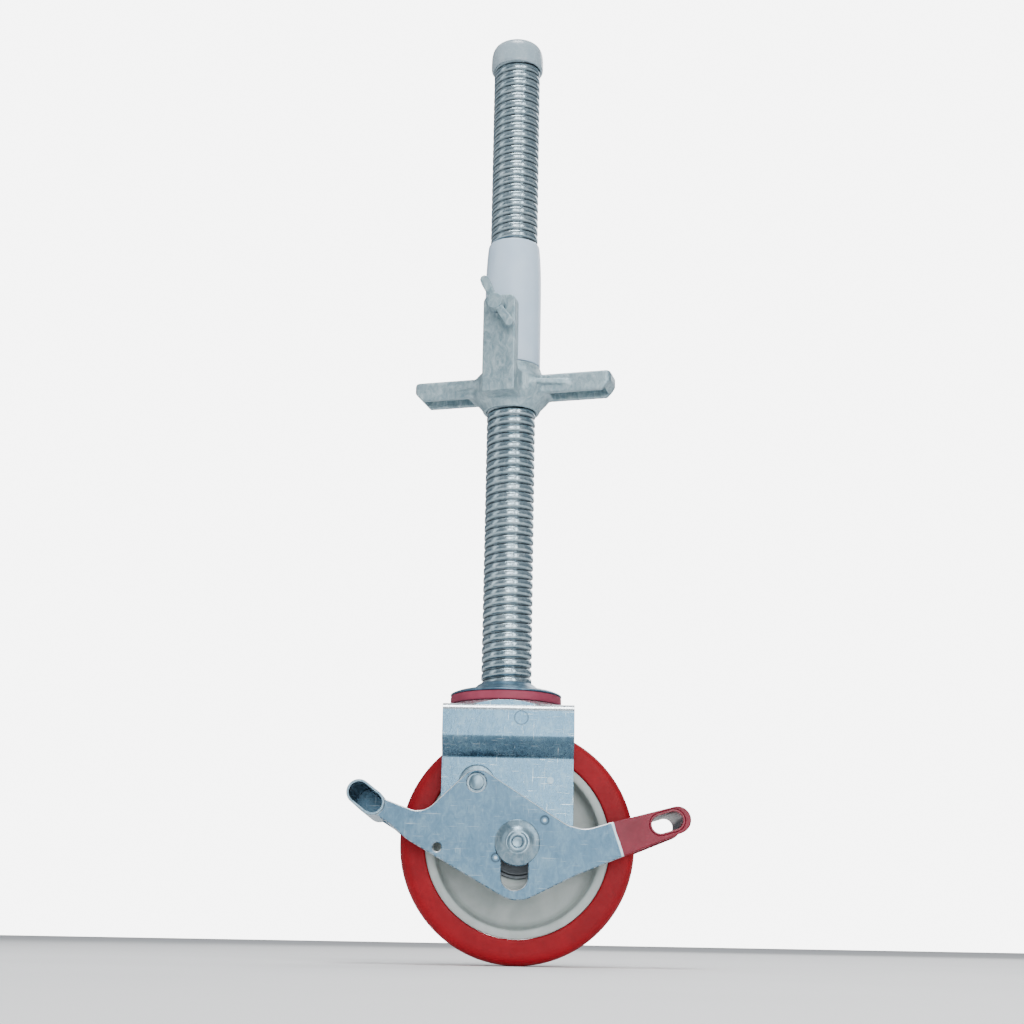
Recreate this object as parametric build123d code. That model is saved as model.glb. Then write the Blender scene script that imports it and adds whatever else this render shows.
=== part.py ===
from build123d import *
import os
from math import cos, sin, tan, radians, pi, sqrt, atan2, hypot

# Levelling castor: a 125 mm swivel wheel with a two-pedal side brake on a
# hollow trapezoidal-thread stem, height set by a winged adjusting nut.
# Heights below are measured from the floor under the wheel; every piece is
# then dropped by SEAT_Z so that the origin is the stem axis at the top of
# the nut's hub, where the leg sleeve stands.

# ---- driving dimensions, mm ----
SEAT_Z = 335.0          # nut hub top above the floor
WHEEL_D = 125.0
WHEEL_W = 32.0
AXLE_X = 7.4            # trail of the axle from the swivel axis
AXLE_Z = WHEEL_D / 2
CORE_R = 49.0           # nylon centre under the tyre
RIM_IN_R = 43.5
HUB_R = 24.6
HUB_HALF = 19.2
FORK_W = 70.0           # along X
FORK_X = 1.6
FORK_T = 3.5
FORK_TOP = 134.7
FORK_OUT = 33.0         # upper cheek outer face
CHEEK_OUT = 24.0        # lower cheek outer face
STEM_R = 14.0
STEM_BORE_R = 10.0
STEM_Z0, STEM_Z1 = 144.5, 540.0
THREAD_PITCH = 5.0
SLEEVE_R = 16.4
SLEEVE_LEN = 76.0
CAP_R = 15.8
NUT_Z0, NUT_Z1 = 307.0, SEAT_Z
NUT_YAW = -15.0
HANDLE_REACH = 60.0
HANDLE_REACH_L = 56.4
HANDLE_Z0, HANDLE_Z1 = 315.5, 327.0
HANDLE_D = 18.0
LUG_IN, LUG_OUT = 22.0, 30.5
LUG_W = 19.0
LUG_Z0, LUG_Z1 = 311.5, 369.0
SCREW_R = 3.0
SCREW_Z = 361.0
BRK_IN, BRK_OUT = 25.6, 28.6    # brake plate faces, |Y|
PIVOT = (-14.6, 93.4)
RUN = 0.05              # radial running clearance


def drop(s):
    return Pos(0, 0, -SEAT_Z) * s


def save(shape, node):
    os.makedirs("parts", exist_ok=True)
    export_step(drop(shape), "parts/" + node + ".step")


def rev(points, axis=Axis.Z):
    # profile in the XZ plane, (radius, height) pairs, turned about Z
    return revolve(make_face(Plane.XZ * Polyline(*points, close=True)), axis=axis)


def face_xz(points):
    return make_face(Plane.XZ * Polyline(*points, close=True))


def prism_y(face, y0, y1):
    # a face drawn in the XZ plane, pulled between two Y values
    return Pos(0, y1, 0) * extrude(face, amount=y1 - y0, dir=(0, -1, 0))


def cyl_y(r, x, z, y0, y1):
    return Pos(x, (y0 + y1) / 2, z) * Rot(90, 0, 0) * Cylinder(r, y1 - y0)


def tube_z(ro, ri, z0, z1):
    return Pos(0, 0, (z0 + z1) / 2) * (Cylinder(ro, z1 - z0) - Cylinder(ri, z1 - z0 + 2))


def rev_y(points):
    # (radius, y) pairs turned about the wheel axis
    f = make_face(Plane.XY * Polyline(*[(r, y) for r, y in points], close=True))
    return Pos(AXLE_X, 0, AXLE_Z) * revolve(f, axis=Axis.Y)


def both(shape):
    # the piece and its mirror image across the XZ plane, as separate solids
    return Compound(children=[shape, mirror(shape, about=Plane.XZ)])


def tangent(px, pz, cx, cz, r, side):
    d = hypot(px - cx, pz - cz)
    base = atan2(pz - cz, px - cx)
    off = side * atan2(sqrt(d * d - r * r), r)
    return (cx + r * cos(base + off), cz + r * sin(base + off))


# ---- leg sleeve: the plastic bush that fills the scaffold leg ----
sleeve = rev([(STEM_R + RUN + 0.03, SEAT_Z), (SLEEVE_R, SEAT_Z),
              (SLEEVE_R, SEAT_Z + SLEEVE_LEN - 16), (SLEEVE_R - 0.5, SEAT_Z + SLEEVE_LEN - 8),
              (SLEEVE_R - 1.3, SEAT_Z + SLEEVE_LEN - 0.6), (SLEEVE_R - 1.7, SEAT_Z + SLEEVE_LEN),
              (STEM_R + RUN + 0.03, SEAT_Z + SLEEVE_LEN)])
save(sleeve, "leg_sleeve")

# ---- adjusting nut: cast in one piece, hub, two channel handles, one lug ----
NUT_BORE = STEM_R + RUN
GAP = 0.3               # the nut turns under the sleeve
hub = rev([(NUT_BORE, NUT_Z0), (15.9, NUT_Z0), (17.3, NUT_Z0 + 3), (20.5, 313.5), (22.5, 316),
           (22.5, 324.5), (20.2, 327.5), (17.6, 330.5), (16.6, 333.5), (16.3, NUT_Z1 - GAP), (NUT_BORE, NUT_Z1 - GAP)])


def handle(sgn):
    x0, x1 = 14.6, HANDLE_REACH if sgn > 0 else HANDLE_REACH_L
    prof = [(x0, HANDLE_Z0), (x1 - 5, HANDLE_Z0), (x1, HANDLE_Z0 + 5.5), (x1, HANDLE_Z1), (x0, HANDLE_Z1)]
    body = prism_y(face_xz(prof), -HANDLE_D / 2, HANDLE_D / 2)
    ends = body.edges().filter_by(Axis.Z).group_by(Axis.X)[-1]
    body = fillet(ends, 3.0)
    body = fillet(body.faces().sort_by(Axis.Z)[-1].edges().filter_by(Axis.X), 1.6)
    cut = Pos((24 + x1 - 4) / 2, 0, HANDLE_Z0 + 3.0) * Box(x1 - 4 - 24, HANDLE_D - 6.0, 9.0)
    # gusset rib running out from the hub along the outer face
    rib = make_face(Plane.XY * Polyline((12, -17.6), (14, -17.2), (37, -9.2), (37, -6), (12, -6), close=True))
    rib = Pos(0, 0, 319.6) * extrude(rib, amount=3.0)
    h = body - cut + rib
    return h if sgn > 0 else Rot(0, 0, 180) * Pos(0, 0, 0) * mirror(h, about=Plane.XZ)


# lug: an upright plate standing off the sleeve, rounded top corners, on a square block
lug_face = Plane.XZ * (Pos(0, (LUG_Z0 + LUG_Z1) / 2) * RectangleRounded(LUG_W, LUG_Z1 - LUG_Z0, 4.0))
lug = prism_y(lug_face, -LUG_OUT, -LUG_IN)
block = Pos(0, -22.99, (LUG_Z0 + 334.0) / 2) * Box(LUG_W, 15.0, 334.0 - LUG_Z0)
block = block - Pos(0, -LUG_IN + 4, 334.0) * Box(40, 8.0, 13.4)
flare = make_face(Plane.XY * Polyline((-34, -9.0), (-20, -10.4), (-12.5, -15.5), (-9.4, -24), (9.4, -24),
                                      (12.5, -15.5), (20, -10.4), (34, -9.0), (34, 4), (-34, 4), close=True))
flare = Pos(0, 0, 316.0) * extrude(flare, amount=10.0)
flare = flare - Pos(0, 0, 321) * Cylinder(17, 30)
channels = [Pos(s * (24 + e) / 2, 0, HANDLE_Z0 + 3.0) * Box(e - 24, HANDLE_D - 6.0, 9.0)
            for s, e in ((1, HANDLE_REACH - 4), (-1, HANDLE_REACH_L - 4))]
nut = hub + handle(1) + handle(-1) + lug + block + flare
for c in channels:
    nut = nut - c
nut = nut - Pos(0, 0, 340) * Cylinder(NUT_BORE, 200)
screw_hole = Pos(0, -(LUG_IN + LUG_OUT) / 2, SCREW_Z) * Rot(90, 0, 0) * Cylinder(SCREW_R + RUN, 20)
nut = nut - screw_hole
nut = Rot(0, 0, NUT_YAW) * nut
save(nut, "adjusting_nut")

# ---- wing screw that grips the leg tube: shank through the lug, wings outside ----
shank = Pos(0, -29.8, SCREW_Z) * Rot(90, 0, 0) * Cylinder(SCREW_R, 16.4)
shank = Rot(0, 0, NUT_YAW) * shank
save(shank, "wing_screw_shank")

WING_TILT = 25.0
boss = Pos(0, -38.3, SCREW_Z) * Rot(90, 0, 0) * (Cylinder(4.6, 6.6) - Pos(0, 0, -1.8) * Cylinder(SCREW_R + RUN, 3.2))
wing = make_face(Plane.XZ * Polyline((-2.6, 0), (-2.2, 6), (-2.7, 13.0), (-2.3, 16.6), (-0.8, 17.8), (1.2, 17.6), (2.3, 16.2),
                                     (2.5, 13), (2.2, 6), (2.6, 0), close=True))
wing = prism_y(wing, -40.2, -36.4)
w1 = Pos(0, 0, SCREW_Z) * Rot(0, -WING_TILT, 0) * wing
w2 = Pos(0, 0, SCREW_Z) * Rot(0, 180 - WING_TILT - 8, 0) * wing
head = boss + (w1 - Pos(0, -38, SCREW_Z) * Rot(90, 0, 0) * Cylinder(4.0, 30)) + (w2 - Pos(0, -38, SCREW_Z) * Rot(90, 0, 0) * Cylinder(4.0, 30))
head = Rot(0, 0, NUT_YAW) * head
save(head, "wing_screw_head")

# ---- stem, cap and swivel head ----
stem = rev([(STEM_BORE_R, STEM_Z0), (STEM_R, STEM_Z0), (STEM_R, STEM_Z1 - 1.5), (STEM_R - 1.2, STEM_Z1), (STEM_BORE_R, STEM_Z1)])
save(stem, "stem_tube")

cap = rev([(0, 545.0), (5, 544.9), (9.5, 544.2), (12.6, 542.6), (14.6, 539.8), (15.5, 536.6), (CAP_R, 532.5),
           (CAP_R, 528.3), (CAP_R - 0.7, 527.5), (STEM_R, 527.5), (STEM_R, STEM_Z1 - 1.5), (STEM_R - 1.2, STEM_Z1),
           (STEM_BORE_R, STEM_Z1), (STEM_BORE_R, 524), (STEM_BORE_R - 2, 524), (STEM_BORE_R - 2, 541.5), (0, 542.5)])
save(cap, "stem_end_cap")

foot = tube_z(STEM_BORE_R, 6.0, STEM_Z0, 172.0)
save(foot, "stem_foot")

cover = rev([(STEM_R, 144.5), (27.2, 144.5), (27.2, 142.3), (30.4, 142.3), (30.7, 142.8), (30.2, 143.6), (26.0, 144.9),
             (20.5, 146.2), (17.2, 147.4), (15.4, 149.0), (STEM_R, 149.6)])
save(cover, "swivel_cover")

seal = rev([(27.35, 137.3), (30.1, 137.3), (30.5, 138.0), (30.5, 141.8), (30.2, 142.3), (27.35, 142.3)])
save(seal, "dust_seal")

BALL_UP, PITCH_UP, BZ_UP = 2.5, 20.0, 139.6
BALL_LO, PITCH_LO, BZ_LO = 2.0, 13.0, 133.1


def groove(pitch, z, r):
    return Pos(0, 0, z) * Torus(pitch, r)


upper_race = tube_z(27.0, 6.0, 141.2, 144.5) - groove(PITCH_UP, BZ_UP, BALL_UP + 0.06)
save(upper_race, "upper_race")
lower_race = rev([(6.0, 129.4), (17.4, 129.4), (18.0, 130.0), (18.0, 132.1), (6.0, 132.1)]) - groove(PITCH_LO, BZ_LO, BALL_LO + 0.06)
save(lower_race, "lower_race")
save(Compound(children=[Rot(0, 0, i * 22.5) * Pos(PITCH_UP, 0, BZ_UP) * Sphere(BALL_UP) for i in range(16)]), "upper_balls")
save(Compound(children=[Rot(0, 0, i * 30) * Pos(PITCH_LO, 0, BZ_LO) * Sphere(BALL_LO) for i in range(12)]), "lower_balls")

kingpin = rev([(0, 126.4), (8.0, 126.4), (9.5, 127.4), (9.5, 129.4), (6.0, 129.4), (6.0, 184.0), (5.0, 185.0), (0, 185.0)])
save(kingpin, "kingpin")
nut_k = extrude(Plane.XY * RegularPolygon(9.75, 6), amount=7.0)
nut_k = Pos(0, 0, 172.0) * (nut_k - Cylinder(6.0, 30))
save(nut_k, "kingpin_nut")

# ---- fork: one pressing, inverted U with an inward joggle and a raised swivel seat ----
j = FORK_T * tan(radians(22.5))
co, ci = CHEEK_OUT, CHEEK_OUT - FORK_T
fo, fi = FORK_OUT, FORK_OUT - FORK_T
outer = [(-co, 45), (-co, 107), (-fo, 116), (-fo, FORK_TOP), (fo, FORK_TOP), (fo, 116), (co, 107), (co, 45)]
inner = [(-ci, 44), (-ci, 107 + j), (-fi, 116 + j), (-fi, FORK_TOP - FORK_T), (fi, FORK_TOP - FORK_T),
         (fi, 116 + j), (ci, 107 + j), (ci, 44)]


def sec(points, radii):
    f = make_face(Polyline(*points, close=True))
    f = Sketch() + f
    for (y, z), r in radii:
        v = f.vertices().sort_by_distance((y, z, 0))[0]
        f = fillet(v, r)
    return f


so = sec(outer, [((s * fo, FORK_TOP), 4.6) for s in (1, -1)] + [((s * fo, 116), 4.2) for s in (1, -1)] + [((s * co, 107), 1.2) for s in (1, -1)])
si = sec(inner, [((s * fi, FORK_TOP - FORK_T), 1.4) for s in (1, -1)] + [((s * fi, 116 + j), 1.0) for s in (1, -1)] + [((s * ci, 107 + j), 4.0) for s in (1, -1)])
shell = Pos(FORK_X - FORK_W / 2, 0, 0) * extrude(Plane.YZ * (so - si), amount=FORK_W)
FX0, FX1 = FORK_X - FORK_W / 2, FORK_X + FORK_W / 2
tr = tangent(FX1, 72, AXLE_X, AXLE_Z, 12.0, -1)
tl = tangent(FX0, 84, AXLE_X, AXLE_Z, 12.0, 1)
side = Sketch() + make_face(Polyline((FX0, 140), (FX0, 84), tl, (AXLE_X, AXLE_Z), tr, (FX1, 72), (FX1, 140), close=True))
side = side + Pos(AXLE_X, AXLE_Z) * Circle(12.0)
side = prism_y(Plane.XZ * side, -40, 40)
fork = shell & side
dome = rev([(0, 131.2), (34.6, 131.2), (34.6, FORK_TOP - 0.2), (33.8, 135.2), (30.9, 136.9), (27.0, 136.9), (27.0, 138.0), (0, 138.0)])
dome = dome & (Pos(FORK_X, 0, 135) * Box(FORK_W, 2 * FORK_OUT - 4, 20))
fork = fork + dome
fork = fork - Pos(0, 0, 131.2 + 3.3 / 2 - 5) * Cylinder(23.0, 3.3 + 10)
fork = fork - groove(PITCH_UP, BZ_UP, BALL_UP + 0.06) - groove(PITCH_LO, BZ_LO, BALL_LO + 0.06)
fork = fork - Pos(0, 0, 135) * Cylinder(6.0 + RUN, 30)
fork = fork - cyl_y(5.0, AXLE_X, AXLE_Z, -40, 40) - cyl_y(4.9, PIVOT[0], PIVOT[1], -40, 40)
fork = fork - cyl_y(1.8, 24.3, 95.2, -40, 40)
save(fork, "fork")
save(both(cyl_y(1.8, 24.3, 95.2, -24.8, -20.5)), "cheek_pins")

# ---- axle set, carried by the fork ----
axle = rev_y([(0, -33.6), (2.6, -33.6), (3.2, -34.6), (4.6, -34.6), (5.5, -33.9), (5.5, -32.6), (5.0, -32.6), (5.0, 32.6),
              (5.5, 32.6), (5.5, 33.9), (4.6, 34.6), (3.2, 34.6), (2.6, 33.6), (0, 33.6)])
save(axle, "axle_rivet")
washer = rev_y([(5.05, -32.6), (6.4, -32.6), (8.2, -31.0), (11.9, -29.6), (11.9, -28.9), (9.0, -28.9), (6.35, -28.9), (5.05, -28.9)])
save(both(washer), "dished_washers")
bush = rev_y([(5.05, -28.9), (6.3, -28.9), (6.3, -24.0), (5.05, -24.0)])
save(both(bush), "axle_bushes")
ax_sleeve = rev_y([(5.05, -20.5), (6.0, -20.5), (6.0, 20.5), (5.05, 20.5)])
save(ax_sleeve, "axle_sleeve")

# ---- bearings: two sealed ball bearings, 12 x 37 x 12 ----
BP, BB = 12.4, 3.3
BR_IN, BR_OUT = 6.0, 18.5
BY0, BY1 = 7.2, 19.2


def tor(y, r):
    return Pos(AXLE_X, y, AXLE_Z) * Rot(90, 0, 0) * Torus(BP, r)


bm = (BY0 + BY1) / 2
inner_ring = rev_y([(BR_IN, BY0), (9.6, BY0), (9.6, BY1), (BR_IN, BY1)]) - tor(bm, BB + 0.06)
outer_ring = rev_y([(15.3, BY0), (BR_OUT, BY0), (BR_OUT, BY1 - 0.4), (BR_OUT - 0.4, BY1), (16.9, BY1), (16.0, BY1 - 1.0), (15.3, BY1 - 1.0)]) - tor(bm, BB + 0.03)
save(both(inner_ring), "bearing_inner_rings")
save(both(outer_ring), "bearing_outer_rings")
balls = []
for i in range(9):
    a = radians(40 * i + 10)
    for s in (1, -1):
        balls.append(Pos(AXLE_X + BP * cos(a), s * bm, AXLE_Z + BP * sin(a)) * Sphere(BB))
save(Compound(children=balls), "bearing_balls")
shield = rev_y([(9.7, BY1 - 1.5), (15.3, BY1 - 1.5), (15.3, BY1 - 0.5), (14.6, BY1 - 0.3), (9.7, BY1 - 0.3)])
save(both(shield), "bearing_seals")

# ---- wheel: nylon centre with a moulded-on tyre ----
core = rev_y([(BR_OUT, -HUB_HALF + 0.7), (BR_OUT + 0.7, -HUB_HALF), (HUB_R - 1.6, -HUB_HALF), (HUB_R - 0.3, -HUB_HALF + 1.2), (HUB_R + 1.0, -7.5), (HUB_R + 4.5, -4.4),
              (RIM_IN_R - 3.6, -3.6), (RIM_IN_R - 0.9, -5.4), (RIM_IN_R - 0.2, -8.0), (RIM_IN_R + 0.5, -14.6), (RIM_IN_R + 1.4, -15.4), (CORE_R - 0.4, -15.4), (CORE_R, -15.0),
              (CORE_R, 15.0), (CORE_R - 0.4, 15.4), (RIM_IN_R + 1.4, 15.4), (RIM_IN_R + 0.5, 14.6), (RIM_IN_R - 0.2, 8.0), (RIM_IN_R - 0.9, 5.4), (RIM_IN_R - 3.6, 3.6),
              (HUB_R + 4.5, 4.4), (HUB_R + 1.0, 7.5), (HUB_R - 0.3, HUB_HALF - 1.2), (HUB_R - 1.6, HUB_HALF), (BR_OUT + 0.7, HUB_HALF), (BR_OUT, HUB_HALF - 0.7),
              (BR_OUT, BY0), (16.2, BY0), (16.2, -BY0), (BR_OUT, -BY0)])
save(core, "wheel_core")
WR, WW = WHEEL_D / 2, WHEEL_W / 2
tyre = rev_y([(CORE_R, -15.0), (CORE_R + 0.6, -WW), (WR - 4.2, -WW), (WR - 2.2, -WW + 0.6), (WR - 0.8, -WW + 2.0), (WR, -WW + 4.4),
              (WR, WW - 4.4), (WR - 0.8, WW - 2.0), (WR - 2.2, WW - 0.6), (WR - 4.2, WW), (CORE_R + 0.6, WW), (CORE_R, 15.0)])
save(tyre, "tyre")

# ---- brake: two profiled side plates rocking together on the pivot rivets ----
PLATE = [((-15.3, 102.6), 10.0), ((-42.6, 76.3), 11.5), ((-69.4, 86.2), 0), ((-69.8, 77.0), 0), ((-60.6, 71.5), 6.0), ((-50.2, 63.0), 14.0),
         ((7.2, 30.9), 17.0), ((38.0, 46.2), 20.0), ((94.0, 69.1), 0), ((89.5, 82.4), 0), ((55.5, 73.4), 10.0), ((43.0, 69.6), 14.0), ((33.4, 71.9), 12.0)]
pf = Sketch() + make_face(Polyline(*[p for p, r in PLATE], close=True))
for (x, z), r in PLATE:
    if r:
        pf = fillet(pf.vertices().sort_by_distance((x, z, 0))[0], r)
pf = pf + Pos(91.3, 75.6) * Circle(7.0)
LP, LP_ANG, LP_L, LP_H, LP_WALL = (-72.9, 84.6), -37.0, 22.0, 13.2, 1.3
RP, RP_ANG, RP_L, RP_H, RP_WALL = (85.8, 74.2), 17.0, 18.8, 11.4, 1.0
lp_out = Pos(*LP) * Rot(0, 0, LP_ANG) * SlotOverall(LP_L, LP_H)
lp_in = Pos(*LP) * Rot(0, 0, LP_ANG) * SlotOverall(LP_L - 2 * LP_WALL, LP_H - 2 * LP_WALL)
rp_out = Pos(*RP) * Rot(0, 0, RP_ANG) * SlotOverall(RP_L, RP_H)
rp_in = Pos(*RP) * Rot(0, 0, RP_ANG) * SlotOverall(RP_L - 2 * RP_WALL, RP_H - 2 * RP_WALL)
pf = pf - lp_out - rp_out
pf = pf - Pos(*PIVOT) * Circle(5.0 + RUN)
pf = pf - Pos(5.3, 61.2) * Circle(9.2) - Pos(6.1, 45.2) * Circle(7.0) - Pos(6.1, 53.2) * Rectangle(14.0, 16.0)
pf = pf - Pos(-34.6, 59.5) * Circle(2.3)
plate_f = prism_y(Plane.XZ * pf, -BRK_OUT, -BRK_IN)
plate_f = chamfer(plate_f.faces().sort_by(Axis.Y)[0].edges(), 0.55)
for x, z in ((-3.8, 54.6), (21.5, 74.2)):
    plate_f = plate_f - cyl_y(2.3, x, z, -BRK_OUT - 1, -BRK_OUT + 1.1)
save(plate_f, "brake_plate_front")
plate_r = mirror(plate_f, about=Plane.XZ) + prism_y(Plane.XZ * lp_out, BRK_IN, BRK_OUT)
save(plate_r, "brake_plate_rear")
save(prism_y(Plane.XZ * (lp_out - lp_in), -BRK_OUT, BRK_IN), "lock_pedal")
save(prism_y(Plane.XZ * (rp_out - rp_in), -BRK_OUT, BRK_OUT), "release_pedal")
BAR, BAR_R = (-60.2, 74.8), 3.0
save(cyl_y(BAR_R, BAR[0], BAR[1], -BRK_IN, BRK_IN), "brake_bar")

rivet = Pos(PIVOT[0], 0, PIVOT[1]) * revolve(make_face(Plane.XY * Polyline(
    (0, -29.2), (3.7, -29.2), (4.1, -28.8), (4.1, -28.2), (5.0, -28.2), (5.0, -24.0), (4.9, -24.0), (4.9, -20.5), (6.6, -20.5), (6.0, -19.4), (0, -19.4),
    close=True)), axis=Axis.Y)
save(both(rivet), "pivot_rivets")
pw = Pos(PIVOT[0], 0, PIVOT[1]) * revolve(make_face(Plane.XY * Polyline(
    (5.0, -25.5), (8.8, -25.5), (9.6, -24.9), (9.6, -24.0), (5.0, -24.0), close=True)), axis=Axis.Y)
save(both(pw), "pivot_washers")

LEVER_TRAVEL = 6.2      # degrees, lock pedal down until the bar meets the tyre
for k in range(0, 16):
    a = radians(LEVER_TRAVEL * k / 15)
    dx, dz = BAR[0] - PIVOT[0], BAR[1] - PIVOT[1]
    bx, bz = PIVOT[0] + dx * cos(a) - dz * sin(a), PIVOT[1] + dx * sin(a) + dz * cos(a)
    if k in (0, 15):
        print("lever", round(LEVER_TRAVEL * k / 15, 2), "gap to tread", round(hypot(bx - AXLE_X, bz - AXLE_Z) - WHEEL_D / 2 - BAR_R, 2))
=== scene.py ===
import bpy, bmesh, math, random
from mathutils import Matrix, Vector, noise
from math import sin, cos, pi, radians


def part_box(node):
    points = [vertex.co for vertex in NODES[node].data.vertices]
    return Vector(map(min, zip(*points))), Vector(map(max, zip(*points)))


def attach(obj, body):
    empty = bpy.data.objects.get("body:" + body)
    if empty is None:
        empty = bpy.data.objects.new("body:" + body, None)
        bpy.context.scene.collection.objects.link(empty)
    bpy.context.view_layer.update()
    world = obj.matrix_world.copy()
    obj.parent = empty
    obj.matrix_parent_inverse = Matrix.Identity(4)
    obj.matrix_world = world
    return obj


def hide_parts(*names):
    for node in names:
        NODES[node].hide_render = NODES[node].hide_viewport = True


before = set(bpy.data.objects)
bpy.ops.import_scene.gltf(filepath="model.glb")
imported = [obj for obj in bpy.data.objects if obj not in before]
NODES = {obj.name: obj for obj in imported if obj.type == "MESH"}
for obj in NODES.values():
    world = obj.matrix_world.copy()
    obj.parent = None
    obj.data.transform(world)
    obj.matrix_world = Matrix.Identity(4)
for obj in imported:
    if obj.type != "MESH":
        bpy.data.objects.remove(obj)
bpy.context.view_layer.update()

S = 335.0                      # nut hub top above the floor, mm
AX, AZ = 7.4, 62.5             # wheel axis, mm, height above the floor
rng = random.Random(7)


# ------------------------------------------------------------------ materials
def new_mat(name):
    m = bpy.data.materials.new(name)
    m.use_nodes = True
    nt = m.node_tree
    b = nt.nodes["Principled BSDF"]
    tc = nt.nodes.new("ShaderNodeTexCoord")
    return m, nt, b, tc.outputs["Object"]


def n_noise(nt, vec, scale, detail=4.0, rough=0.6, dist=0.0):
    n = nt.nodes.new("ShaderNodeTexNoise")
    n.inputs["Scale"].default_value = scale
    n.inputs["Detail"].default_value = detail
    n.inputs["Roughness"].default_value = rough
    n.inputs["Distortion"].default_value = dist
    nt.links.new(vec, n.inputs["Vector"])
    return n.outputs["Fac"]


def n_map(nt, vec, scale, loc=(0, 0, 0), rot=(0, 0, 0)):
    n = nt.nodes.new("ShaderNodeMapping")
    n.inputs["Scale"].default_value = scale
    n.inputs["Location"].default_value = loc
    n.inputs["Rotation"].default_value = rot
    nt.links.new(vec, n.inputs["Vector"])
    return n.outputs["Vector"]


def n_ramp(nt, fac, stops):
    n = nt.nodes.new("ShaderNodeValToRGB")
    e = n.color_ramp.elements
    while len(e) < len(stops):
        e.new(0.5)
    for el, (p, c) in zip(e, stops):
        el.position = p
        el.color = (*c, 1) if len(c) == 3 else c
    nt.links.new(fac, n.inputs["Fac"])
    return n.outputs["Color"]


def n_range(nt, fac, a, b, lo=0.0, hi=1.0):
    n = nt.nodes.new("ShaderNodeMapRange")
    n.inputs["From Min"].default_value = lo
    n.inputs["From Max"].default_value = hi
    n.inputs["To Min"].default_value = a
    n.inputs["To Max"].default_value = b
    nt.links.new(fac, n.inputs["Value"])
    return n.outputs["Result"]


def n_math(nt, op, a, b=None, c=None):
    n = nt.nodes.new("ShaderNodeMath")
    n.operation = op
    for i, v in enumerate((a, b, c)):
        if v is None:
            continue
        if isinstance(v, (int, float)):
            n.inputs[i].default_value = v
        else:
            nt.links.new(v, n.inputs[i])
    return n.outputs[0]


def n_mix(nt, fac, a, b, mode="MIX"):
    n = nt.nodes.new("ShaderNodeMix")
    n.data_type = "RGBA"
    n.blend_type = mode
    for sock, v in ((n.inputs[0], fac), (n.inputs[6], a), (n.inputs[7], b)):
        if isinstance(v, (int, float)):
            sock.default_value = v
        elif isinstance(v, tuple):
            sock.default_value = (*v, 1)
        else:
            nt.links.new(v, sock)
    return n.outputs[2]


def n_bump(nt, b, height, strength, dist, prev=None):
    n = nt.nodes.new("ShaderNodeBump")
    n.inputs["Strength"].default_value = strength
    n.inputs["Distance"].default_value = dist
    nt.links.new(height, n.inputs["Height"])
    if prev is not None:
        nt.links.new(prev, n.inputs["Normal"])
    nt.links.new(n.outputs["Normal"], b.inputs["Normal"])
    return n.outputs["Normal"]


def zinc(name, dark, mid, light, rough=(0.24, 0.40), metal=0.72, grain=900.0, bump=0.12, scratch=0.35, extra=None):
    m, nt, b, oc = new_mat(name)
    big = n_noise(nt, oc, 55.0, 3.0, 0.55, 0.4)
    fine = n_noise(nt, oc, grain, 5.0, 0.7)
    mott = n_noise(nt, n_map(nt, oc, (1.0, 1.0, 0.55)), 330.0, 4.0, 0.65, 0.8)
    f = n_math(nt, "ADD", n_math(nt, "MULTIPLY", big, 0.25), n_math(nt, "MULTIPLY", mott, 0.75))
    col = n_ramp(nt, f, [(0.32, dark), (0.50, mid), (0.68, light)])
    sc = n_noise(nt, n_map(nt, oc, (60.0, 60.0, 1500.0), rot=(0.0, 0.5, 0.0)), 1.6, 2.0, 0.5)
    scm = n_range(nt, sc, 0.0, 1.0, 0.66, 0.74)
    sc2 = n_noise(nt, n_map(nt, oc, (1300.0, 90.0, 80.0), rot=(0.0, -0.35, 0.2)), 1.3, 2.0, 0.5)
    scm2 = n_range(nt, sc2, 0.0, 1.0, 0.68, 0.76)
    scr = n_math(nt, "MULTIPLY", n_math(nt, "MAXIMUM", scm, scm2), scratch)
    col = n_mix(nt, scr, col, (0.72, 0.82, 0.86))
    if extra:
        col = extra(nt, oc, col, b)
    nt.links.new(col, b.inputs["Base Color"])
    nt.links.new(n_range(nt, n_math(nt, "ADD", n_math(nt, "MULTIPLY", mott, 0.6), n_math(nt, "MULTIPLY", fine, 0.4)), rough[0], rough[1], 0.3, 0.7), b.inputs["Roughness"])
    b.inputs["Metallic"].default_value = metal
    h = n_math(nt, "SUBTRACT", n_math(nt, "ADD", fine, n_math(nt, "MULTIPLY", mott, 0.8)), n_math(nt, "MULTIPLY", scr, 0.6))
    n_bump(nt, b, h, bump, 0.0003)
    return m


D, M_, L = (0.052, 0.110, 0.165), (0.082, 0.160, 0.230), (0.148, 0.250, 0.328)


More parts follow.
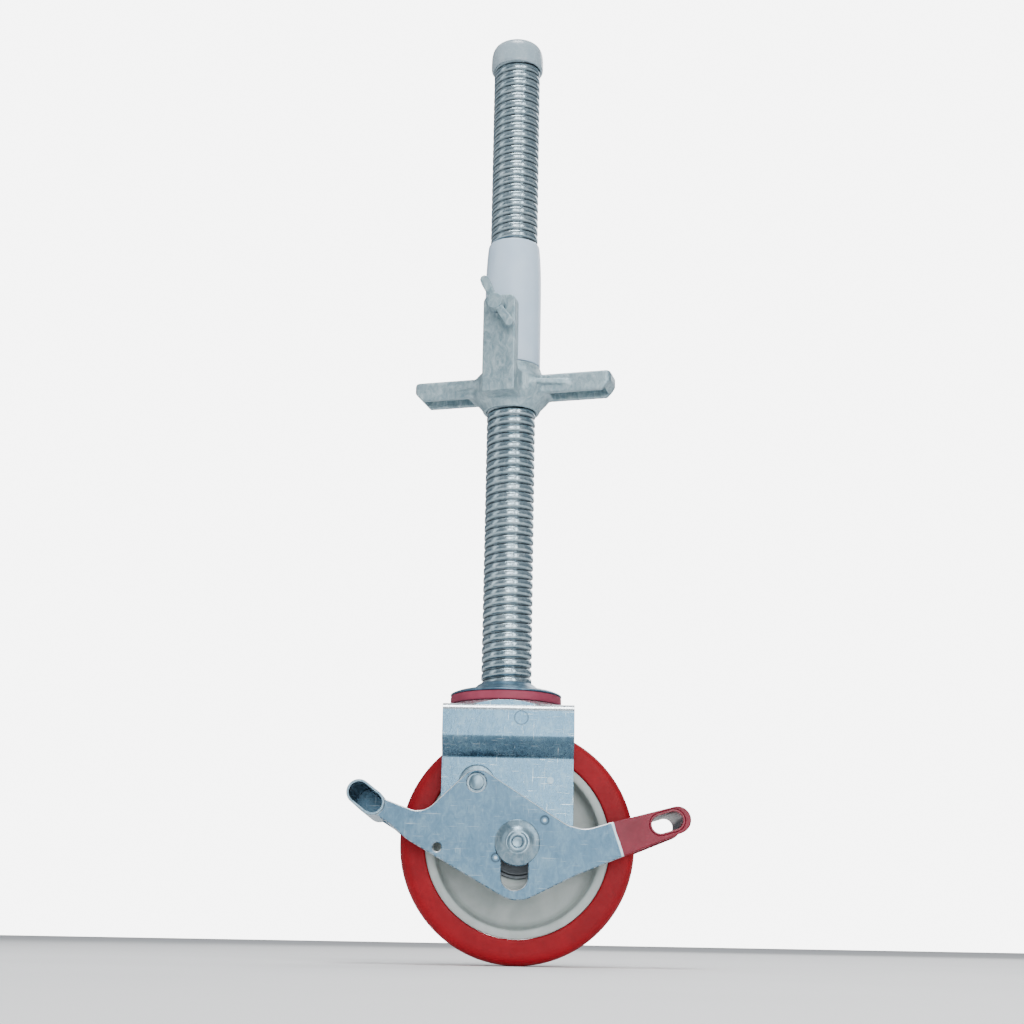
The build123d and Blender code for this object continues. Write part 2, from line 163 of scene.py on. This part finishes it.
def punch_ring_and_bend_highlight(nt, oc, col, b):
    # a plain round punch mark on the fork's front face, and a painted highlight along the fork's top bend on faces that
    # tilt upward
    sep = nt.nodes.new("ShaderNodeSeparateXYZ")
    nt.links.new(oc, sep.inputs[0])
    dx = n_math(nt, "SUBTRACT", sep.outputs[0], 0.0084)
    dz = n_math(nt, "SUBTRACT", sep.outputs[2], (127.1 - S) / 1000)
    r = n_math(nt, "SQRT", n_math(nt, "ADD", n_math(nt, "MULTIPLY", dx, dx), n_math(nt, "MULTIPLY", dz, dz)))
    d = n_math(nt, "ABSOLUTE", n_math(nt, "SUBTRACT", r, 0.0036))
    ring = n_range(nt, d, 1.0, 0.0, 0.0002, 0.0005)
    front = n_range(nt, sep.outputs[1], 1.0, 0.0, -0.0322, -0.0318)
    k = n_math(nt, "MULTIPLY", n_math(nt, "MULTIPLY", ring, front), 0.80)
    geo = nt.nodes.new("ShaderNodeNewGeometry")
    gs = nt.nodes.new("ShaderNodeSeparateXYZ")
    nt.links.new(geo.outputs["Normal"], gs.inputs[0])
    # painted highlight: lightens the top bend where its normal faces upward, standing in for light from above
    bend_highlight = n_math(nt, "MULTIPLY", n_range(nt, gs.outputs[2], 0.0, 1.0, 0.15, 0.45), n_range(nt, sep.outputs[2], 0.0, 1.0, (129.0 - S) / 1000, (130.5 - S) / 1000))
    bend_highlight = n_math(nt, "MULTIPLY", bend_highlight, n_range(nt, gs.outputs[2], 1.0, 0.0, 0.93, 0.985))
    col = n_mix(nt, n_math(nt, "MULTIPLY", bend_highlight, 0.75), col, (0.80, 0.86, 0.89))
    return n_mix(nt, k, col, (0.03, 0.06, 0.09))


def thread_root_shade(nt, oc, col, b):
    # painted shade: darkens the root of the thread
    sep = nt.nodes.new("ShaderNodeSeparateXYZ")
    nt.links.new(oc, sep.inputs[0])
    x, y = sep.outputs[0], sep.outputs[1]
    r = n_math(nt, "SQRT", n_math(nt, "ADD", n_math(nt, "MULTIPLY", x, x), n_math(nt, "MULTIPLY", y, y)))
    k = n_math(nt, "MULTIPLY", n_range(nt, r, 1.0, 0.0, 0.01320, 0.01375), 0.74)
    return n_mix(nt, k, col, (0.018, 0.028, 0.036))


M = {}
M["zinc"] = zinc("zinc_plate", D, M_, L)
M["zinc_fork"] = zinc("zinc_fork", (0.062, 0.122, 0.176), (0.086, 0.162, 0.226), (0.140, 0.236, 0.306), rough=(0.20, 0.34), metal=0.90, scratch=0.6, extra=punch_ring_and_bend_highlight)
M["zinc_thread"] = zinc("zinc_thread", (0.235, 0.325, 0.375), (0.330, 0.430, 0.480), (0.490, 0.590, 0.635), rough=(0.16, 0.29), metal=0.90, grain=1100, bump=0.10, scratch=0.15, extra=thread_root_shade)
M["zinc_small"] = zinc("zinc_small", (0.115, 0.190, 0.250), (0.190, 0.285, 0.350), (0.32, 0.425, 0.49), rough=(0.25, 0.42), metal=0.85)
M["zinc_cast"] = zinc("zinc_cast", (0.165, 0.255, 0.300), (0.285, 0.390, 0.435), (0.470, 0.580, 0.610), rough=(0.34, 0.55), metal=0.55, grain=1500, bump=0.6, scratch=0.0)
M["steel"] = zinc("ground_steel", (0.30, 0.31, 0.33), (0.42, 0.43, 0.45), (0.55, 0.56, 0.58), rough=(0.2, 0.35), metal=0.95)


def plastic(name, a, c, rough, bump=0.05, scale=700.0, sss=0.0, coat=0.0, soil=None, spec=0.5):
    m, nt, b, oc = new_mat(name)
    f = n_noise(nt, oc, 40.0, 4.0, 0.6, 0.3)
    g = n_noise(nt, oc, scale, 4.0, 0.6)
    col = n_ramp(nt, f, [(0.35, a), (0.65, c)])
    if soil:
        col = n_mix(nt, n_range(nt, n_noise(nt, oc, 160.0, 5.0, 0.7, 1.0), 0.0, 0.55, 0.55, 0.78), col, soil)
    nt.links.new(col, b.inputs["Base Color"])
    nt.links.new(n_range(nt, g, rough - 0.06, rough + 0.08, 0.3, 0.7), b.inputs["Roughness"])
    b.inputs["Specular IOR Level"].default_value = spec
    if sss:
        b.inputs["Subsurface Weight"].default_value = sss
        b.inputs["Subsurface Radius"].default_value = (0.004, 0.004, 0.004)
    if coat:
        b.inputs["Coat Weight"].default_value = coat
        b.inputs["Coat Roughness"].default_value = 0.25
    n_bump(nt, b, g, bump, 0.0004)
    return m


M["white"] = plastic("sleeve_plastic", (0.46, 0.60, 0.74), (0.54, 0.67, 0.79), 0.34, 0.04, 500.0)
M["cap"] = plastic("cap_plastic", (0.26, 0.345, 0.395), (0.33, 0.415, 0.465), 0.24, 0.04, 500.0)
M["nylon"] = plastic("nylon_centre", (0.30, 0.345, 0.335), (0.43, 0.475, 0.46), 0.42, 0.05, 600.0, soil=(0.38, 0.40, 0.36))
M["tyre"] = plastic("red_polyurethane", (0.200, 0.0012, 0.0055), (0.270, 0.0018, 0.0080), 0.50, 0.06, 900.0, soil=(0.15, 0.001, 0.005), spec=0.18)
M["seal"] = plastic("red_seal", (0.24, 0.032, 0.062), (0.33, 0.052, 0.090), 0.6, 0.10, 1200.0, spec=0.3)
M["paint"] = plastic("red_paint", (0.150, 0.007, 0.020), (0.205, 0.012, 0.030), 0.34, 0.10, 420.0, coat=0.15, spec=0.3)
M["shield"] = plastic("bearing_shield", (0.060, 0.072, 0.082), (0.095, 0.108, 0.118), 0.50, 0.08, 1200.0, spec=0.3)
M["ring"] = zinc("bearing_ring", (0.035, 0.042, 0.048), (0.060, 0.070, 0.078), (0.10, 0.115, 0.125), rough=(0.35, 0.5), metal=0.6, scratch=0.0)
M["black"] = plastic("black_rubber", (0.030, 0.033, 0.038), (0.05, 0.055, 0.06), 0.55, 0.08, 1200.0)


def plate_mat():
    # zinc plate whose right arm is dipped in red paint
    m = zinc("zinc_brake_plate", D, M_, L, rough=(0.30, 0.46), bump=0.14, scratch=0.30)
    nt = m.node_tree
    b = nt.nodes["Principled BSDF"]
    oc = [n for n in nt.nodes if n.type == "TEX_COORD"][0].outputs["Object"]
    sep = nt.nodes.new("ShaderNodeSeparateXYZ")
    nt.links.new(oc, sep.inputs[0])
    # paint line through (57.4, 73.7) and (62.8, 57.4): x + 0.331 (z - 73.7) > 57.4, with a slightly ragged edge
    e = n_math(nt, "ADD", sep.outputs[0], n_math(nt, "MULTIPLY", n_math(nt, "SUBTRACT", sep.outputs[2], (73.7 - S) / 1000), 0.331))
    wob = n_math(nt, "MULTIPLY", n_math(nt, "SUBTRACT", n_noise(nt, oc, 260.0, 3.0, 0.5), 0.5), 0.0012)
    red = n_range(nt, n_math(nt, "ADD", e, wob), 0.0, 1.0, 0.05725, 0.05755)
    rim = n_math(nt, "MULTIPLY", n_range(nt, e, 0.0, 1.0, 0.0560, 0.0563), n_math(nt, "SUBTRACT", 1.0, red))
    old = b.inputs["Base Color"].links[0].from_socket
    c1 = n_mix(nt, n_math(nt, "MULTIPLY", rim, 0.6), old, (0.66, 0.78, 0.84))
    pc = n_ramp(nt, n_noise(nt, oc, 90.0, 4.0, 0.6), [(0.35, (0.150, 0.007, 0.020)), (0.65, (0.205, 0.012, 0.030))])
    geo = nt.nodes.new("ShaderNodeNewGeometry")
    gs = nt.nodes.new("ShaderNodeSeparateXYZ")
    nt.links.new(geo.outputs["Normal"], gs.inputs[0])
    # painted highlight on the front chamfer where it faces upward, plus random light specks of edge wear along the
    # whole chamfer
    yabs = n_math(nt, "ABSOLUTE", sep.outputs[1])
    rim_y = n_range(nt, yabs, 1.0, 0.0, 0.02850, 0.02858)
    rim_y = n_math(nt, "MULTIPLY", rim_y, n_range(nt, yabs, 0.0, 1.0, 0.02795, 0.02802))
    upward_facing = n_range(nt, gs.outputs[2], 0.0, 1.0, 0.15, 0.5)
    dots = n_range(nt, n_noise(nt, oc, 700.0, 2.0, 0.5), 0.0, 1.0, 0.46, 0.54)
    upper_edge_highlight_and_wear = n_math(nt, "MULTIPLY", rim_y, n_math(nt, "MAXIMUM", upward_facing, n_math(nt, "MULTIPLY", dots, 0.35)))
    c1 = n_mix(nt, n_math(nt, "MULTIPLY", upper_edge_highlight_and_wear, 0.92), c1, (0.88, 0.93, 0.95))
    # painted shade: dark ring around each dimple rim, and a painted highlight at its centre
    for hx, hz, hr in ((-3.8, 54.6, 2.15), (21.5, 74.2, 2.15)):
        ex = n_math(nt, "SUBTRACT", sep.outputs[0], hx / 1000)
        ez = n_math(nt, "SUBTRACT", sep.outputs[2], (hz - S) / 1000)
        er = n_math(nt, "SQRT", n_math(nt, "ADD", n_math(nt, "MULTIPLY", ex, ex), n_math(nt, "MULTIPLY", ez, ez)))
        ed = n_math(nt, "ABSOLUTE", n_math(nt, "SUBTRACT", er, hr / 1000))
        c1 = n_mix(nt, n_math(nt, "MULTIPLY", n_range(nt, ed, 1.0, 0.0, 0.0002, 0.0007), 0.75), c1, (0.02, 0.035, 0.05))
        dimple_centre_highlight = n_range(nt, n_math(nt, "SUBTRACT", er, 0.0), 1.0, 0.0, 0.0006, 0.0011)
        c1 = n_mix(nt, n_math(nt, "MULTIPLY", dimple_centre_highlight, 0.5), c1, (0.62, 0.72, 0.78))
    nt.links.new(n_mix(nt, red, c1, pc), b.inputs["Base Color"])
    nt.links.new(n_range(nt, red, 0.72, 0.0), b.inputs["Metallic"])
    nt.links.new(n_range(nt, red, 0.0, 0.05), b.inputs["Coat Weight"])
    nt.links.new(n_range(nt, red, 0.5, 0.2), b.inputs["Specular IOR Level"])
    return m


M["plate"] = plate_mat()


# ------------------------------------------------------------------ mesh helpers
def obj_from(name, verts, faces, mat, body, reps=(), bevel=0.0, seg=2, sharp=32, weld=True):
    me = bpy.data.meshes.new(name)
    me.from_pydata(verts, [], faces)
    return finish_obj(name, me, mat, body, reps, bevel, seg, sharp, weld)


def finish_obj(name, me, mat, body, reps=(), bevel=0.0, seg=2, sharp=32, weld=True, dissolve=0.0):
    bm = bmesh.new()
    bm.from_mesh(me)
    if weld:
        bmesh.ops.remove_doubles(bm, verts=bm.verts, dist=2e-6)
    if dissolve:
        bmesh.ops.dissolve_limit(bm, angle_limit=radians(dissolve), verts=bm.verts, edges=bm.edges)
    bmesh.ops.recalc_face_normals(bm, faces=bm.faces)
    bm.to_mesh(me)
    bm.free()
    ob = bpy.data.objects.new(name, me)
    bpy.context.scene.collection.objects.link(ob)
    if bevel:
        md = ob.modifiers.new("bevel", "BEVEL")
        md.width = bevel / 1000
        md.segments = seg
        md.limit_method = "ANGLE"
        md.angle_limit = radians(sharp)
        md.use_clamp_overlap = True
        dg = bpy.context.evaluated_depsgraph_get()
        me2 = bpy.data.meshes.new_from_object(ob.evaluated_get(dg))
        ob.modifiers.clear()
        ob.data = me2
        me = me2
    for p in me.polygons:
        p.use_smooth = True
    me.set_sharp_from_angle(angle=radians(38 if bevel else sharp))
    if bevel:
        wm = ob.modifiers.new("weighted", "WEIGHTED_NORMAL")
        wm.keep_sharp = True
        wm.weight = 100
        dg = bpy.context.evaluated_depsgraph_get()
        me = bpy.data.meshes.new_from_object(ob.evaluated_get(dg))
        ob.modifiers.clear()
        ob.data = me
    me.materials.clear()
    me.materials.append(M[mat])
    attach(ob, body)
    if reps:
        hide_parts(*reps)
    return ob


def lathe_data(prof, axis="Z", centre=(0, 0, 0), seg=128, closed=True):
    """prof: (radius, height) in mm above the floor for Z, or (radius, y) for Y."""
    vs, fs = [], []
    n = len(prof)
    for i in range(seg):
        a = 2 * pi * i / seg
        for r, h in prof:
            if axis == "Z":
                vs.append(((centre[0] + r * cos(a)) / 1000, (centre[1] + r * sin(a)) / 1000, (h - S) / 1000))
            else:
                vs.append(((centre[0] + r * cos(a)) / 1000, h / 1000, (centre[2] + r * sin(a) - S) / 1000))
    for i in range(seg):
        k = (i + 1) % seg
        for j in range(n if closed else n - 1):
            q = (j + 1) % n
            a, b, c, d = i * n + j, i * n + q, k * n + q, k * n + j
            if prof[j][0] < 1e-6 and prof[q][0] < 1e-6:
                continue
            if prof[j][0] < 1e-6:
                fs.append((a, b, c))
            elif prof[q][0] < 1e-6:
                fs.append((a, b, d))
            else:
                fs.append((a, b, c, d))
    return vs, fs


def lathe(name, profs, mat, body, reps, axis="Z", centre=(0, 0, 0), seg=128, bevel=0.0, bseg=2, sharp=32):
    V, F = [], []
    for p in profs:
        vs, fs = lathe_data(p, axis, centre, seg)
        F += [tuple(i + len(V) for i in f) for f in fs]
        V += vs
    return obj_from(name, V, F, mat, body, reps, bevel, bseg, sharp)


def flip(prof):
    return [(r, -y) for r, y in prof]


def copy_node(node, name, mat, body, bevel=0.2, seg=2, sharp=30, dissolve=0.4):
    return finish_obj(name, NODES[node].data.copy(), mat, body, (node,), bevel, seg, sharp, True, dissolve)


def smooth_profile(pts, k=3):
    """Round a polyline profile by corner cutting, keeping its ends."""
    for _ in range(k):
        out = [pts[0]]
        for a, b in zip(pts, pts[1:]):
            out += [(a[0] * 0.75 + b[0] * 0.25, a[1] * 0.75 + b[1] * 0.25), (a[0] * 0.25 + b[0] * 0.75, a[1] * 0.25 + b[1] * 0.75)]
        out.append(pts[-1])
        pts = out
    return pts


# ------------------------------------------------------------------ stem thread
def stem_thread():
    pitch, z0, z1, seg = 5.0, 144.5, 540.0, 84
    # rounded trapezoid: wide crest, narrow groove
    prof = [(0.00, 13.98), (0.28, 13.99), (0.50, 13.93), (0.62, 13.62), (0.71, 13.12), (0.79, 13.02), (0.87, 13.14), (0.95, 13.66)]
    m = len(prof)
    turns = int((z1 - z0) / pitch) + 3
    rows = turns * seg
    base = z0 - 2 * pitch
    vs, fs = [], []
    for k in range(rows + 1):
        a = 2 * pi * k / seg
        for f, r in prof:
            z = base + pitch * (k / seg + f)
            rr = r - 0.05 * max(0.0, noise.noise(Vector((cos(a) * 3, sin(a) * 3, z * 0.35))))
            zc = min(max(z, z0), z1)
            vs.append((rr * cos(a) / 1000, rr * sin(a) / 1000, (zc - S) / 1000))
    for k in range(rows):
        for j in range(m - 1):
            a, b, c, d = k * m + j, k * m + j + 1, (k + 1) * m + j + 1, (k + 1) * m + j
            zs = [vs[i][2] for i in (a, b, c, d)]
            if max(zs) - min(zs) > 1e-9:
                fs.append((a, d, c, b))
        if k + seg < rows:
            a, b, c, d = k * m + m - 1, (k + seg) * m, (k + seg + 1) * m, (k + 1) * m + m - 1
            zs = [vs[i][2] for i in (a, b, c, d)]
            if max(zs) - min(zs) > 1e-9:
                fs.append((a, d, c, b))
    # bore and end rings
    n0 = len(vs)
    bz = [(10.0, z0), (13.2, z0), None, (13.2, z1), (10.0, z1), (10.0, z0)]
    for r, z in [(13.3, z0), (10.0, z0), (10.0, z1), (13.3, z1)]:
        for i in range(48):
            a = 2 * pi * i / 48
            vs.append((r * cos(a) / 1000, r * sin(a) / 1000, (z - S) / 1000))
    for j in range(3):
        for i in range(48):
            k = (i + 1) % 48
            fs.append((n0 + j * 48 + i, n0 + (j + 1) * 48 + i, n0 + (j + 1) * 48 + k, n0 + j * 48 + k))
    return obj_from("stem_thread", vs, fs, "zinc_thread", "stem", ("stem_tube",), 0, 2, 60, False)


stem_thread()

# ------------------------------------------------------------------ cap, sleeve, cover, seal
cap_out = smooth_profile([(14.6, 527.5), (15.3, 527.45), (15.78, 528.4), (15.8, 531.0), (15.8, 534.0), (15.55, 537.4), (14.9, 540.4), (13.2, 543.0), (10.0, 544.5), (5.0, 544.95), (0.0, 545.0)], 2)
lathe("end_cap", [[(0.0, 541.0), (14.1, 540.6), (14.1, 527.6)] + cap_out], "cap", "stem", ("stem_end_cap",), sharp=50)

sl = smooth_profile([(16.05, 335.0), (16.4, 335.5), (16.4, 345), (16.4, 372), (16.35, 388.0), (15.9, 401.0), (15.2, 409.6), (14.8, 410.95), (14.3, 411.0)], 2)
lathe("sleeve", [[(14.12, 411.0), (14.12, 335.0)] + sl], "white", "leg_bush", ("leg_sleeve",), sharp=50)

cv = smooth_profile([(27.3, 142.35), (30.3, 142.32), (30.68, 142.8), (30.3, 143.5), (26.5, 144.8), (20.5, 146.15), (17.4, 147.2), (15.7, 148.8), (14.4, 149.55), (14.05, 149.6)], 2)
lathe("head_cover", [[(14.05, 144.6), (27.3, 144.6)] + cv], "zinc", "stem", ("swivel_cover",), sharp=50, seg=160)

sp = smooth_profile([(27.4, 137.35), (29.9, 137.3), (30.45, 137.9), (30.5, 139.8), (30.45, 141.7), (30.1, 142.28), (27.4, 142.28)], 2)
lathe("seal_ring", [sp], "seal", "stem", ("dust_seal",), sharp=50, seg=160)


# ------------------------------------------------------------------ castings
def cast_copy(node, name, mat, body, voxel, smooth_it, bump_mm, sub=False):
    me = NODES[node].data.copy()
    bm = bmesh.new()
    bm.from_mesh(me)
    bmesh.ops.remove_doubles(bm, verts=bm.verts, dist=2e-6)
    bm.to_mesh(me)
    bm.free()
    ob = bpy.data.objects.new(name, me)
    bpy.context.scene.collection.objects.link(ob)
    rm = ob.modifiers.new("remesh", "REMESH")
    rm.mode = "VOXEL"
    rm.voxel_size = voxel / 1000
    sm = ob.modifiers.new("smooth", "SMOOTH")
    sm.factor = 0.6
    sm.iterations = smooth_it
    dg = bpy.context.evaluated_depsgraph_get()
    me2 = bpy.data.meshes.new_from_object(ob.evaluated_get(dg))
    ob.modifiers.clear()
    ob.data = me2
    lo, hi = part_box(node)
    normals = [v.normal.copy() for v in me2.vertices]
    for v in me2.vertices:
        n = normals[v.index]
        k = noise.noise(v.co * 700.0) * 0.6 + noise.noise(v.co * 1600.0) * 0.4
        r = math.hypot(v.co.x, v.co.y)
        if r > 0.0146 or node != "adjusting_nut":
            v.co += n * (k * bump_mm / 1000)
        for i in range(3):
            v.co[i] = min(max(v.co[i], lo[i]), hi[i])
    for p in me2.polygons:
        p.use_smooth = True
    me2.materials.clear()
    me2.materials.append(M[mat])
    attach(ob, body)
    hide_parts(node)
    return ob


cast_copy("adjusting_nut", "nut_casting", "zinc_cast", "nut", 0.62, 4, 0.10)
cast_copy("wing_screw_head", "wing_casting", "zinc_cast", "clamp_wings", 0.33, 4, 0.08)

# ------------------------------------------------------------------ pressed and turned steel
copy_node("fork", "fork_pressing", "zinc_fork", "fork", 0.35, 3, 30)
copy_node("brake_plate_front", "front_plate", "plate", "brake", 0.14, 2, 25)
copy_node("brake_plate_rear", "rear_plate", "plate", "brake", 0.14, 2, 25)
copy_node("lock_pedal", "lock_pedal_tube", "zinc_small", "brake", 0.25, 2, 40)
copy_node("release_pedal", "release_pedal_tube", "paint", "brake", 0.25, 2, 40)

wash = [(5.1, -28.95)] + smooth_profile([(9.0, -28.92), (11.6, -28.92), (11.88, -29.3), (11.6, -29.75), (8.6, -30.8), (6.9, -32.0), (6.2, -32.58), (5.1, -32.58)], 2)
lathe("cupped_washers", [wash, flip(wash)], "zinc_small", "fork", ("dished_washers",), "Y", (AX, 0, AZ), 96, sharp=50)
axl = [(0.0, -33.2), (1.0, -33.3)] + smooth_profile([(2.2, -33.4), (2.7, -33.5), (3.0, -34.3), (3.5, -34.6), (4.4, -34.6), (5.3, -34.1), (5.48, -33.4), (5.4, -32.64), (5.0, -32.62)], 2)
lathe("axle_pin", [axl + [(5.0, 0.0)] + [(r, -y) for r, y in reversed(axl)]], "zinc_small", "fork", ("axle_rivet",), "Y", (AX, 0, AZ), 96, sharp=50)
rv = [(0.0, -28.75)] + smooth_profile([(3.7, -28.75), (3.95, -28.6), (4.1, -28.0), (4.15, -25.9)], 2) + [(5.0, -25.9)] + [(5.0, -24.0), (4.9, -24.0), (4.9, -20.5), (6.5, -20.4), (6.0, -19.4), (0.0, -19.4)]
lathe("plate_rivets", [rv, flip(rv)], "zinc_small", "fork", ("pivot_rivets",), "Y", (-14.6, 0, 93.4), 72, sharp=50)
pwp = [(5.05, -24.02), (5.05, -25.45)] + smooth_profile([(8.6, -25.48), (9.2, -25.3), (9.5, -24.9), (9.57, -24.4), (9.5, -24.02)], 2)
lathe("plate_washers", [pwp, flip(pwp)], "zinc_small", "fork", ("pivot_washers",), "Y", (-14.6, 0, 93.4), 72, sharp=50)

# ------------------------------------------------------------------ wheel
half = smooth_profile([(49.0, -15.0), (49.25, -15.75), (50.0, -15.98), (54.0, -15.98), (58.0, -15.95), (60.4, -15.2), (61.9, -13.2), (62.42, -10.5), (62.49, -6.0), (62.49, 0.0)], 2)
ty = half + [(r, -y) for r, y in reversed(half[:-1])]
lathe("tyre_tread", [ty], "tyre", "wheel", ("tyre",), "Y", (AX, 0, AZ), 256, sharp=60)
hc = [(18.52, -18.50), (19.15, -19.15)] + smooth_profile([(22.4, -19.15), (23.7, -18.9), (24.3, -17.6), (25.1, -9.0), (26.6, -5.4), (30.2, -4.3), (39.5, -3.7), (42.2, -4.6), (43.2, -7.0), (43.7, -11.0), (44.0, -14.4), (44.9, -15.35), (48.2, -15.38), (48.85, -15.0), (48.95, -14.0)], 2)
core = hc + [(r, -y) for r, y in reversed(hc)] + [(18.52, 7.2), (16.2, 7.2), (16.2, -7.2), (18.52, -7.2)]
lathe("wheel_centre", [core], "nylon", "wheel", ("wheel_core",), "Y", (AX, 0, AZ), 192, sharp=50)

# carried-over CAD nodes
carried = {"wing_screw_shank": "zinc_small", "stem_foot": "zinc_small", "upper_race": "steel", "lower_race": "steel", "upper_balls": "steel",
           "lower_balls": "steel", "kingpin": "zinc_small", "kingpin_nut": "zinc_small", "cheek_pins": "zinc_small", "axle_bushes": "zinc_small",
           "axle_sleeve": "zinc_small", "bearing_inner_rings": "steel", "bearing_outer_rings": "ring", "bearing_balls": "steel",
           "bearing_seals": "shield", "brake_bar": "zinc_small"}
for n, k in carried.items():
    o = NODES[n]
    if o.material_slots:
        for s in o.material_slots:
            s.material = M[k]
    else:
        o.data.materials.append(M[k])

# ------------------------------------------------------------------ floor, light, camera
fm, nt, b, oc = new_mat("floor_pale")
f = n_noise(nt, oc, 6.0, 3.0, 0.5)
nt.links.new(n_ramp(nt, f, [(0.3, (0.86, 0.86, 0.86)), (0.7, (0.89, 0.89, 0.89))]), b.inputs["Base Color"])
b.inputs["Roughness"].default_value = 0.7
me = bpy.data.meshes.new("floor")
w = 6.0
me.from_pydata([(-w, -w, -S / 1000), (w, -w, -S / 1000), (w, w, -S / 1000), (-w, w, -S / 1000)], [], [(0, 1, 2, 3)])
floor = bpy.data.objects.new("floor", me)
bpy.context.scene.collection.objects.link(floor)
me.materials.append(fm)

world = bpy.data.worlds.new("studio")
bpy.context.scene.world = world
world.use_nodes = True
wn = world.node_tree
bg = wn.nodes["Background"]
tc = wn.nodes.new("ShaderNodeTexCoord")
sp_ = wn.nodes.new("ShaderNodeSeparateXYZ")
wn.links.new(tc.outputs["Generated"], sp_.inputs[0])
rp = wn.nodes.new("ShaderNodeValToRGB")
mr = wn.nodes.new("ShaderNodeMapRange")
mr.inputs["From Min"].default_value = -1
mr.inputs["From Max"].default_value = 1
wn.links.new(sp_.outputs[2], mr.inputs["Value"])
wn.links.new(mr.outputs[0], rp.inputs["Fac"])
el = rp.color_ramp.elements
el[0].position, el[0].color = 0.0, (0.07, 0.085, 0.10, 1)
el[1].position, el[1].color = 1.0, (0.8, 0.82, 0.85, 1)
e2 = el.new(0.48); e2.color = (0.20, 0.235, 0.27, 1)
e3 = el.new(0.62); e3.color = (0.34, 0.38, 0.42, 1)
lp = wn.nodes.new("ShaderNodeLightPath")
bg2 = wn.nodes.new("ShaderNodeBackground")
bg2.inputs["Color"].default_value = (0.97, 0.97, 0.97, 1)
bg2.inputs["Strength"].default_value = 7.0
mixs = wn.nodes.new("ShaderNodeMixShader")
out = wn.nodes["World Output"]
wn.links.new(rp.outputs["Color"], bg.inputs["Color"])
bg.inputs["Strength"].default_value = 0.8
wn.links.new(lp.outputs["Is Camera Ray"], mixs.inputs[0])
wn.links.new(bg.outputs[0], mixs.inputs[1])
wn.links.new(bg2.outputs[0], mixs.inputs[2])
wn.links.new(mixs.outputs[0], out.inputs["Surface"])


def area(name, loc, target, sx, sy, power, col=(1, 1, 1)):
    l = bpy.data.lights.new(name, "AREA")
    l.shape = "RECTANGLE"
    l.size, l.size_y = sx, sy
    l.energy = power
    l.color = col
    o = bpy.data.objects.new(name, l)
    o.location = loc
    d = Vector(target) - Vector(loc)
    o.rotation_euler = d.to_track_quat("-Z", "Y").to_euler()
    bpy.context.scene.collection.objects.link(o)
    return o


mid = (0, 0, -0.06)
area("top_soft", (0.0, -0.35, 1.35), (0, 0, -0.2), 0.60, 0.50, 18)
area("front_soft", (0.10, -2.3, 0.42), mid, 0.60, 1.5, 24)
area("front_strip", (0.72, -1.05, 0.05), mid, 0.16, 1.6, 8.0)
area("front_strip_b", (0.40, -1.25, 0.05), mid, 0.07, 1.6, 4.0)
area("left_fill", (-1.4, -0.5, 0.4), mid, 0.5, 1.4, 4.0)
area("back_rim", (0.5, 1.3, 0.7), mid, 1.2, 1.0, 12.0)

cam = bpy.data.cameras.new("camera")
co = bpy.data.objects.new("camera", cam)
bpy.context.scene.collection.objects.link(co)
cam.sensor_width = 36
cam.lens = 56.25
cam.clip_start = 0.01
cam.clip_end = 50
R = Matrix.Rotation(radians(105.0), 4, "X") @ Matrix.Rotation(radians(1.02), 4, "Z")
co.matrix_world = Matrix.Translation((0.0015, -0.879, (12.9 - S) / 1000)) @ R
bpy.context.scene.camera = co
